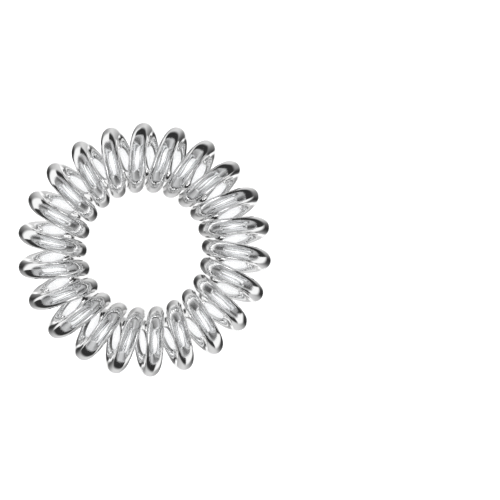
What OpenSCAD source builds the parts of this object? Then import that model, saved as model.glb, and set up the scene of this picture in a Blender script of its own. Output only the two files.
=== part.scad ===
// Spiral hair tie: one clear elastic strand wound as a coil, whose ends are fused so that it closes in a ring.
// Millimetres, +Z up. The ring lies flat: its axis is Z, and the turns touch the floor at z = 0.

/* [Strand] */
// Thickness of the strand
strand_d = 2.4; // [1.6:0.05:3.2]
// Squareness of the strand's section above and below, where 2 is round
squareness = 2.5; // [2:0.1:4]
// Share of the way from the coil's middle to the tip of a turn up to which the section stays that square
square_to = 0.6; // [0.3:0.05:0.8]
// Share of that way from which the section is round
round_from = 0.96; // [0.85:0.01:1]

/* [Coil] */
// Width of the coil across its outside, which is also the height of the tie as it lies
coil_d = 9.7; // [8:0.1:13]
// Number of turns of the coil in the ring
turns = 22; // [16:1:28]
// Gap between neighbouring turns at the edge of the hole, where they lie closest
turn_gap = 0.07; // [0.04:0.01:0.4]

/* [Unevenness] */
// Share by which the turns lie closer than their mean spacing on the side where they crowd together
crowding = 0.034; // [0:0.002:0.08]
// Direction of that crowded side, in degrees from +X towards +Y
crowded_at = 47; // [0:1:359]
// Place of the strand on its coil where it passes the +X side, in degrees up from the outermost point
coil_start = 148; // [0:1:359]

/* [Hidden] */

// Flat sides round the strand, and rings of points along each turn
strand_sides = 12;
rings_per_turn = 20;

strand_r = strand_d / 2;
coil_r = (coil_d - strand_d) / 2;
degrees_per_radian = 180 / PI;

// The turns lean a little from one to the next, so their spacing along the ring is wider than the
// shortest way across from strand to strand. The spacing at the hole then sets the size of the ring.
closest = strand_d + turn_gap;
crowded_pitch = closest / sqrt(1 - pow(closest / (2 * PI * coil_r), 2));
mean_pitch = crowded_pitch / (1 - crowding);
hole_side_r = turns * mean_pitch / (2 * PI);
ring_r = hole_side_r + coil_r;

ring_count = turns * rings_per_turn;
tint = [0.86, 0.87, 0.88, 0.5];

// Directions in the plane across the ring at ring angle g: away from the axis, and along the ring
function away(g) = [cos(g), sin(g), 0];
function along(g) = [-sin(g), cos(g), 0];
function unit(v) = v / norm(v);

// Ring angle of the strand at coil angle a, first with even turns and then with the crowding
function even_angle(a) = (a - coil_start) / turns;
function ring_angle(a) =
    even_angle(a) + crowding * degrees_per_radian * sin(crowded_at - even_angle(a));

// Rate at which the ring angle follows the coil angle
function advance(a) = (1 - crowding * cos(crowded_at - even_angle(a))) / turns;

// Direction from the coil's middle to the strand, the strand's centre, and the way that it runs
function coil_out(a) = cos(a) * away(ring_angle(a)) + [0, 0, sin(a)];
function strand_centre(a) =
    ring_r * away(ring_angle(a)) + coil_r * coil_out(a) + [0, 0, coil_r + strand_r];
function strand_way(a) = unit(
    coil_r * (-sin(a) * away(ring_angle(a)) + [0, 0, cos(a)])
    + (ring_r + coil_r * cos(a)) * advance(a) * along(ring_angle(a))
);

// The strand's section is |x|^p + |y|^p = 1 times its radius. At the tips of the turns p is 2, so it is round.
// Above and below, where the hot coil was pressed a little flat, p is the squareness. A smooth step joins them.
function tip_share(a) = min(1, max(0, (abs(cos(a)) - square_to) / (round_from - square_to)));
function section_power(a) =
    squareness + (2 - squareness) * pow(tip_share(a), 2) * (3 - 2 * tip_share(a));
function section_reach(p, q) = pow(pow(abs(cos(q)), p) + pow(abs(sin(q)), p), -1 / p);

// One ring of points round the strand
function strand_ring(a) =
    let (
        middle = strand_centre(a),
        out = coil_out(a),
        side = cross(strand_way(a), out),
        p = section_power(a)
    )
    [
        for (k = [0 : strand_sides - 1])
            let (q = k * 360 / strand_sides)
            middle + strand_r * section_reach(p, q) * (cos(q) * out + sin(q) * side)
    ];

// Number of a point, with the last ring joined to the first
function point_at(ring, k) = (ring % ring_count) * strand_sides + k % strand_sides;

module coil() {
    points = [
        for (ring = [0 : ring_count - 1])
            each strand_ring(ring * 360 / rings_per_turn)
    ];
    faces = [
        for (ring = [0 : ring_count - 1], k = [0 : strand_sides - 1])
            each [
                [point_at(ring, k), point_at(ring + 1, k), point_at(ring + 1, k + 1)],
                [point_at(ring, k), point_at(ring + 1, k + 1), point_at(ring, k + 1)]
            ]
    ];
    color(tint) polyhedron(points = points, faces = faces, convexity = 10);
}

coil();
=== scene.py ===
"""Spiral hair tie: one clear elastic strand wound as a coil that closes in a ring, on a studio floor."""

import math

import bpy
import numpy as np
from bpy.props import FloatProperty, FloatVectorProperty, IntProperty, PointerProperty
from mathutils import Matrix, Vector


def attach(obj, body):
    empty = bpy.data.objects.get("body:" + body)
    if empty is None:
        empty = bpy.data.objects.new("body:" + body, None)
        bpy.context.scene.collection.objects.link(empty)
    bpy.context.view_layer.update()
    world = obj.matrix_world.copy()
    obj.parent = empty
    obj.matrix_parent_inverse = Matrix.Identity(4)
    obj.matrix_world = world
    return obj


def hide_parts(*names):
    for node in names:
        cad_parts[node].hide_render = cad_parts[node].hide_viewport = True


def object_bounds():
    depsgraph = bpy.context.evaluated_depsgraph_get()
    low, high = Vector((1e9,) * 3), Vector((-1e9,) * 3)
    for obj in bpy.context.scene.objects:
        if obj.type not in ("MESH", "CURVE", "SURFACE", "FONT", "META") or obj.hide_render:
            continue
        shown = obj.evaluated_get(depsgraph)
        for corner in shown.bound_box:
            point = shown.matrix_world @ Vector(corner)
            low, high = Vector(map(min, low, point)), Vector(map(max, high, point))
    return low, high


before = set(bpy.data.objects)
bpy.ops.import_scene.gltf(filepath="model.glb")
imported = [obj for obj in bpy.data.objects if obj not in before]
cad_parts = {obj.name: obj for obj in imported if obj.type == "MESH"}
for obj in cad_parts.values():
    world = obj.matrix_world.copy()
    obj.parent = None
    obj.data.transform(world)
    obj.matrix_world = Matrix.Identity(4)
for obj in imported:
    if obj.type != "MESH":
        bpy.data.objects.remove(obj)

bl_info = {
    "name": "Spiral Hair Tie",
    "version": (1, 0, 0),
    "blender": (4, 5, 0),
    "location": "3D View > Sidebar > Hair Tie",
    "description": "Makes a clear spiral hair tie and the studio that it is shown in",
    "category": "Add Mesh",
}

CAD_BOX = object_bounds()
MM = 0.001

# Width of the ring and place of its middle in the photograph, in pixels of its 500 by 500 frame
FRAME_PX = 500
RING_PX = 254.8
RING_MIDDLE_PX = (144.35, 249.86)


def linear(hex_colour):
    """An sRGB hex value as linear red, green and blue: each channel over 255, raised by the sRGB curve."""
    channels = np.array([int(hex_colour[k : k + 2], 16) for k in (0, 2, 4)]) / 255
    return tuple(np.where(channels <= 0.04045, channels / 12.92, ((channels + 0.055) / 1.055) ** 2.4))


class CoilSizes(bpy.types.PropertyGroup):
    """Sizes of the strand and its coil, the same as in the construction."""

    strand: FloatProperty(
        name="Strand Thickness", description="Thickness of the strand",
        default=2.4 * MM, min=1 * MM, unit="LENGTH", precision=4,
    )
    width: FloatProperty(
        name="Coil Width", description="Width of the coil across its outside, as high as the tie lies",
        default=CAD_BOX[1].z - CAD_BOX[0].z, min=5 * MM, unit="LENGTH", precision=4,
    )
    turns: IntProperty(
        name="Turns", description="Number of turns of the coil in the ring", default=22, min=10, max=40,
    )
    gap: FloatProperty(
        name="Turn Gap", description="Least gap between neighbouring turns, at the edge of the hole",
        default=0.07 * MM, min=0, unit="LENGTH", precision=5,
    )
    crowding: FloatProperty(
        name="Crowding",
        description="Share by which the turns lie closer than their mean spacing on one side",
        default=0.034, min=0, max=0.2, subtype="FACTOR",
    )
    crowded_at: FloatProperty(
        name="Crowded Side", description="Direction of the side where the turns crowd together",
        default=math.radians(47), subtype="ANGLE",
    )
    start: FloatProperty(
        name="Coil Start", description="Place of the strand on its coil where it passes the +X side",
        default=math.radians(148), subtype="ANGLE",
    )
    squareness: FloatProperty(
        name="Squareness",
        description="Squareness of the strand's section above and below, where 2 is round",
        default=2.5, min=2, max=8,
    )
    square_to: FloatProperty(
        name="Square To",
        description="Share of the way from the coil's middle to a tip up to which the section stays square",
        default=0.6, min=0, max=0.9, subtype="FACTOR",
    )
    round_from: FloatProperty(
        name="Round From", description="Share of that way from which the section is round",
        default=0.96, min=0.1, max=1, subtype="FACTOR",
    )


class StrandFinish(bpy.types.PropertyGroup):
    """Colour and surface of the clear strand."""

    tint: FloatVectorProperty(
        name="Tint", description="Colour that the plastic gives to what shows through it",
        subtype="COLOR", default=linear("f7f8f9"), min=0, max=1,
    )
    roughness: FloatProperty(
        name="Roughness", description="Roughness of the surface left by the die",
        default=0.09, min=0, max=1, subtype="FACTOR",
    )
    ridge_width: FloatProperty(
        name="Ridge Width", description="Width of the soft ridges that the die leaves along the strand",
        default=1.1 * MM, min=0.05 * MM, unit="LENGTH", precision=5,
    )
    ridge_height: FloatProperty(
        name="Ridge Height", description="Height of the soft ridges that the die leaves along the strand",
        default=0.09 * MM, min=0, unit="LENGTH", precision=5,
    )
    twists: IntProperty(
        name="Twists", description="Times that the strand turns about itself in the ring", default=5,
    )


class Studio(bpy.types.PropertyGroup):
    """Floor and lights. Directions are given round from +X towards +Y, and up from the horizon."""

    floor_colour: FloatVectorProperty(
        name="Floor", description="Colour of the matte floor", subtype="COLOR",
        default=linear("f4f4f4"), min=0, max=1,
    )
    floor_glow: FloatProperty(
        name="Floor Glow", description="Light that comes up through the floor board", default=0.9, min=0,
    )
    backdrop: FloatProperty(
        name="Backdrop", description="Brightness of the pale room as the camera sees it", default=0.9, min=0,
    )
    under: FloatProperty(
        name="Light From Below", description="Brightness of the lit panel under the tie", default=1.03, min=0,
    )
    under_end: FloatProperty(
        name="Panel Edge", description="How far below the horizon the lit panel ends",
        default=math.radians(-64), subtype="ANGLE",
    )
    low_dim: FloatProperty(
        name="Low Dim", description="Brightness below the horizon on the dim sides", default=0.03, min=0,
    )
    low_lit: FloatProperty(
        name="Low Lit", description="Brightness below the horizon on the lit sides", default=0.68, min=0,
    )
    low_side: FloatProperty(
        name="Low Lit Side", description="Direction of the two lit sides below the horizon",
        default=math.radians(72), subtype="ANGLE",
    )
    low_end: FloatProperty(
        name="Low Edge", description="How far below the horizon the low light ends",
        default=math.radians(-25), subtype="ANGLE",
    )
    soft_light: FloatProperty(
        name="Soft Light", description="Brightness of the soft light above", default=0.95, min=0,
    )
    flag_right: FloatVectorProperty(
        name="Right Flag", description="Black flag on the right: direction round, height and half width",
        size=3, default=(math.radians(47), math.radians(15), math.radians(62)), subtype="EULER",
    )
    flag_left: FloatVectorProperty(
        name="Left Flag", description="Black flag on the left: direction round, height and half width",
        size=3, default=(math.radians(236), math.radians(7), math.radians(53)), subtype="EULER",
    )
    flag_light: FloatProperty(
        name="Flag Brightness", description="Light that still comes off the flags", default=0.03, min=0,
    )
    flag_edge: FloatProperty(
        name="Flag Edge", description="Softness of the edge of a flag",
        default=math.radians(3), subtype="ANGLE",
    )
    top_light: FloatProperty(
        name="Top Light", description="Brightness of the lamp overhead", default=3.3, min=0,
    )
    top_size: FloatProperty(
        name="Top Light Size", description="Half width of the lamp overhead",
        default=math.radians(20), subtype="ANGLE",
    )


def coil_frames(sizes, a):
    """Middle of the strand and the two directions across it, at coil angles a.

    The strand goes round a circle, the coil, whose middle goes round the ring: while the coil angle grows
    by one turn, the ring angle grows by one share of the ring, plus a sine that crowds the turns on one
    side. Across the strand, one direction points away from the coil's middle, and the other is square to
    that and to the strand. The size of the ring follows from the gap at the edge of the hole."""
    strand_r = sizes.strand / 2
    coil_r = (sizes.width - sizes.strand) / 2
    closest = sizes.strand + sizes.gap
    crowded_pitch = closest / math.sqrt(1 - (closest / (2 * math.pi * coil_r)) ** 2)
    mean_pitch = crowded_pitch / (1 - sizes.crowding)
    ring_r = sizes.turns * mean_pitch / (2 * math.pi) + coil_r

    even = (a - sizes.start) / sizes.turns
    g = even + sizes.crowding * np.sin(sizes.crowded_at - even)
    advance = (1 - sizes.crowding * np.cos(sizes.crowded_at - even)) / sizes.turns
    away = np.stack([np.cos(g), np.sin(g), 0 * g], -1)
    along = np.stack([-np.sin(g), np.cos(g), 0 * g], -1)
    up = np.array([0.0, 0.0, 1.0])
    cos_a, sin_a = np.cos(a)[:, None], np.sin(a)[:, None]

    out = cos_a * away + sin_a * up
    middle = ring_r * away + coil_r * out + (coil_r + strand_r) * up
    way = coil_r * (cos_a * up - sin_a * away) + (ring_r + coil_r * cos_a) * advance[:, None] * along
    way /= np.linalg.norm(way, axis=1, keepdims=True)
    return middle, out, np.cross(way, out)


def strand_section(sizes, a, q):
    """Outward and sideways parts of the strand's section, for a radius of 1.

    At coil angle a and section angle q, the section is |x|^p + |y|^p = 1. At the tips of the turns p is 2,
    so it is round. Above and below, where the hot coil was pressed a little flat, p is the squareness. A
    smooth step joins them."""
    fade = sizes.round_from - sizes.square_to
    tip_share = np.clip((np.abs(np.cos(a)) - sizes.square_to) / fade, 0, 1)
    p = (sizes.squareness + (2 - sizes.squareness) * tip_share**2 * (3 - 2 * tip_share))[:, None]
    outwards, sideways = np.cos(q), np.sin(q)
    reach = (np.abs(outwards) ** p + np.abs(sideways) ** p) ** (-1 / p)
    return reach * outwards, reach * sideways


def tube_grid(rows, sides):
    """Faces of a closed tube: each square joins neighbours in a row to those in the next, both wrapped."""
    i, k = np.meshgrid(np.arange(rows), np.arange(sides), indexing="ij")
    j, l = (i + 1) % rows, (k + 1) % sides
    return np.stack([i * sides + k, j * sides + k, j * sides + l, i * sides + l], -1).reshape(-1, 4)


def new_mesh(name, points, faces):
    """A smooth mesh object from an array of points and an array of faces."""
    mesh = bpy.data.meshes.new(name)
    mesh.from_pydata(points.tolist(), [], faces.tolist())
    mesh.shade_smooth()
    piece = bpy.data.objects.new(name, mesh)
    bpy.context.scene.collection.objects.link(piece)
    return piece


def add_node(tree, kind, links=(), **settings):
    """Adds a node. Links pair its inputs with outputs, and settings name its inputs or properties."""
    node = tree.nodes.new(kind)
    for key, value in settings.items():
        if hasattr(node, key):
            setattr(node, key, value)
        else:
            node.inputs[key.replace("_", " ")].default_value = value
    for socket, source in links:
        tree.links.new(source, node.inputs[socket])
    return node


def emptied_tree(owner):
    """Node tree of a material or world, with its default nodes taken out."""
    owner.use_nodes = True
    owner.node_tree.nodes.clear()
    return owner.node_tree


def clear_extruded_polyurethane(finish):
    """Clear thermoplastic polyurethane, extruded as a strand and wound hot.

    It bends light as clear plastic does, and its surface is a little less smooth than glass, so what shows
    through is a little soft. The die leaves soft ridges along the strand, which draw the light and dark
    behind it into long streaks."""
    material = bpy.data.materials.new("clear_extruded_polyurethane")
    tree = emptied_tree(material)
    place = add_node(tree, "ShaderNodeAttribute", attribute_name="die_place").outputs["Vector"]
    ridges = add_node(
        tree, "ShaderNodeTexNoise", [("Vector", place)], Scale=1 / finish.ridge_width, Detail=0.0,
    ).outputs["Fac"]
    # The noise keeps to the middle two fifths of its range, and this stretches it to the whole
    stretch = 2.5
    relief = add_node(
        tree, "ShaderNodeBump", [("Height", ridges)], Strength=1.0, Distance=stretch * finish.ridge_height,
    ).outputs["Normal"]
    shader = add_node(
        tree, "ShaderNodeBsdfPrincipled", [("Normal", relief)], Base_Color=(*finish.tint, 1),
        Roughness=finish.roughness, IOR=1.5, Transmission_Weight=1.0,
    )
    add_node(tree, "ShaderNodeOutputMaterial", [("Surface", shader.outputs["BSDF"])])
    return material


class HAIRTIE_OT_coil(bpy.types.Operator):
    """Makes the coiled strand as one closed smooth tube"""

    bl_idname = "hair_tie.coil"
    bl_label = "Make Coil"

    def execute(self, context):
        sizes = context.scene.hair_tie_sizes
        rows_per_turn, sides = 96, 40
        a = np.arange(sizes.turns * rows_per_turn) * (2 * np.pi / rows_per_turn)
        q = np.arange(sides) * (2 * np.pi / sides)
        middle, out, side = coil_frames(sizes, a)
        outwards, sideways = strand_section(sizes, a, q)
        ring = outwards[:, :, None] * out[:, None] + sideways[:, :, None] * side[:, None]
        points = (middle[:, None] + sizes.strand / 2 * ring).reshape(-1, 3)
        piece = new_mesh("hair_tie_coil", points, tube_grid(len(a), sides))

        # Place round the die from which each point came, which turns slowly along the strand
        turned = q[None, :] + context.scene.hair_tie_finish.twists / sizes.turns * a[:, None]
        place = sizes.strand / 2 * np.stack([np.cos(turned), np.sin(turned), 0 * turned], -1)
        stored = piece.data.attributes.new("die_place", "FLOAT_VECTOR", "POINT")
        stored.data.foreach_set("vector", place.ravel())
        piece.data.materials.append(clear_extruded_polyurethane(context.scene.hair_tie_finish))
        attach(piece, "root")
        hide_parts("coil")
        return {"FINISHED"}


def add_floor(studio):
    """A round matte floor on which the tie lies."""
    radius, steps = 1.5, 96
    g = np.arange(steps) * (2 * np.pi / steps)
    rim = np.stack([radius * np.cos(g), radius * np.sin(g), 0 * g], -1)
    floor = new_mesh("studio_floor", rim, np.arange(steps)[None])
    material = bpy.data.materials.new("matte_white_board")
    tree = emptied_tree(material)
    shader = add_node(
        tree, "ShaderNodeBsdfPrincipled", Base_Color=(*studio.floor_colour, 1), Roughness=0.8,
        Specular_IOR_Level=0.0, Emission_Color=(1, 1, 1, 1), Emission_Strength=studio.floor_glow,
    )
    add_node(tree, "ShaderNodeOutputMaterial", [("Surface", shader.outputs["BSDF"])])
    floor.data.materials.append(material)
    floor.visible_transmission = False
    floor.visible_glossy = False


def direction(round_angle, height):
    """Unit vector that points round from +X by one angle and up from the horizon by another."""
    return (
        math.cos(height) * math.cos(round_angle), math.cos(height) * math.sin(round_angle), math.sin(height),
    )


def ramp(tree, value, start, end):
    """Smooth step of a value from 0 at start to 1 at end."""
    node = add_node(
        tree, "ShaderNodeMapRange", [("Value", value)], interpolation_type="SMOOTHSTEP",
        From_Min=start, From_Max=end,
    )
    return node.outputs["Result"]


def blend(tree, share, first, second):
    """First value where the share is 0 and second where it is 1. Each may be a number or an output."""
    node = tree.nodes.new("ShaderNodeMix")
    for name, source in (("Factor", share), ("A", first), ("B", second)):
        socket = node.inputs[name]
        if isinstance(source, (int, float)):
            socket.default_value = source
        else:
            tree.links.new(source, socket)
    return node.outputs["Result"]


def facing(tree, way, towards):
    """Cosine between the direction looked in and a fixed direction."""
    node = add_node(tree, "ShaderNodeVectorMath", [(0, way)], operation="DOT_PRODUCT")
    node.inputs[1].default_value = towards
    return node.outputs["Value"]


def add_world(studio):
    """The room round the tie: a lit panel below, soft light above, two black flags and a lamp overhead."""
    world = bpy.data.worlds.new("studio_room")
    tree = emptied_tree(world)
    way = add_node(tree, "ShaderNodeTexCoord").outputs["Generated"]
    height = facing(tree, way, (0, 0, 1))
    # Soft edges, in the sine of the height: half of the low light's, and all of the panel's and the lamp's
    low_edge = 0.15
    edge = 0.03

    flat = add_node(tree, "ShaderNodeVectorMath", [(0, way)], operation="MULTIPLY")
    flat.inputs[1].default_value = (1, 1, 0)
    flat = add_node(tree, "ShaderNodeVectorMath", [(0, flat.outputs["Vector"])], operation="NORMALIZE")
    side = facing(tree, flat.outputs["Vector"], direction(studio.low_side, 0))
    lit = add_node(tree, "ShaderNodeMath", [(0, side), (1, side)], operation="MULTIPLY").outputs["Value"]
    low = blend(tree, lit, studio.low_dim, studio.low_lit)
    above = studio.soft_light
    for round_angle, up, half in (studio.flag_right, studio.flag_left):
        near = facing(tree, way, direction(round_angle, up))
        outer, inner = math.cos(half + studio.flag_edge), math.cos(half - studio.flag_edge)
        above = blend(tree, ramp(tree, near, outer, inner), above, studio.flag_light)
    low_end = math.sin(studio.low_end)
    light = blend(tree, ramp(tree, height, low_end - low_edge, low_end + low_edge), low, above)
    top = math.cos(studio.top_size)
    light = blend(tree, ramp(tree, height, top - edge, top), light, studio.top_light)
    under = math.sin(studio.under_end)
    light = blend(tree, ramp(tree, height, under, under - edge), light, studio.under)

    # The camera sees the pale backdrop instead
    seen = add_node(tree, "ShaderNodeLightPath").outputs["Is Camera Ray"]
    light = blend(tree, seen, light, studio.backdrop)
    glow = add_node(tree, "ShaderNodeBackground", [("Strength", light)], Color=(1, 1, 1, 1))
    add_node(tree, "ShaderNodeOutputWorld", [("Surface", glow.outputs["Background"])])
    bpy.context.scene.world = world


def add_camera():
    """A long lens straight above, placed so that the ring lies where the photograph shows it."""
    lo, hi = CAD_BOX
    pixel = (hi.y - lo.y) / RING_PX
    middle = FRAME_PX / 2
    height = 0.8
    data = bpy.data.cameras.new("camera")
    data.sensor_width = 36
    data.lens = data.sensor_width * height / (FRAME_PX * pixel)
    data.clip_start = 0.01
    data.clip_end = 10
    camera = bpy.data.objects.new("camera", data)
    camera.location = Vector(
        ((middle - RING_MIDDLE_PX[0]) * pixel, (RING_MIDDLE_PX[1] - middle) * pixel, height + hi.z / 2)
    )
    bpy.context.scene.collection.objects.link(camera)
    bpy.context.scene.camera = camera


class HAIRTIE_OT_stage(bpy.types.Operator):
    """Makes the floor, the lights and the camera"""

    bl_idname = "hair_tie.stage"
    bl_label = "Make Studio"

    def execute(self, context):
        studio = context.scene.hair_tie_studio
        add_floor(studio)
        add_world(studio)
        add_camera()
        context.scene.view_settings.view_transform = "Standard"
        return {"FINISHED"}


class HAIRTIE_PT_panel(bpy.types.Panel):
    """Sizes, finish and studio of the hair tie"""

    bl_label = "Spiral Hair Tie"
    bl_space_type = "VIEW_3D"
    bl_region_type = "UI"
    bl_category = "Hair Tie"

    def draw(self, context):
        for name in SETTINGS:
            group = getattr(context.scene, name)
            box = self.layout.box()
            for key in group.__annotations__:
                box.prop(group, key)
        for operator in (HAIRTIE_OT_coil, HAIRTIE_OT_stage):
            self.layout.operator(operator.bl_idname)


SETTINGS = {"hair_tie_sizes": CoilSizes, "hair_tie_finish": StrandFinish, "hair_tie_studio": Studio}
CLASSES = (CoilSizes, StrandFinish, Studio, HAIRTIE_OT_coil, HAIRTIE_OT_stage, HAIRTIE_PT_panel)


def register():
    for c in CLASSES:
        bpy.utils.register_class(c)
    for name, group in SETTINGS.items():
        setattr(bpy.types.Scene, name, PointerProperty(type=group))


def unregister():
    for name in SETTINGS:
        delattr(bpy.types.Scene, name)
    for c in reversed(CLASSES):
        bpy.utils.unregister_class(c)


def main():
    register()
    bpy.ops.hair_tie.coil()
    bpy.ops.hair_tie.stage()


if __name__ == "__main__":
    main()
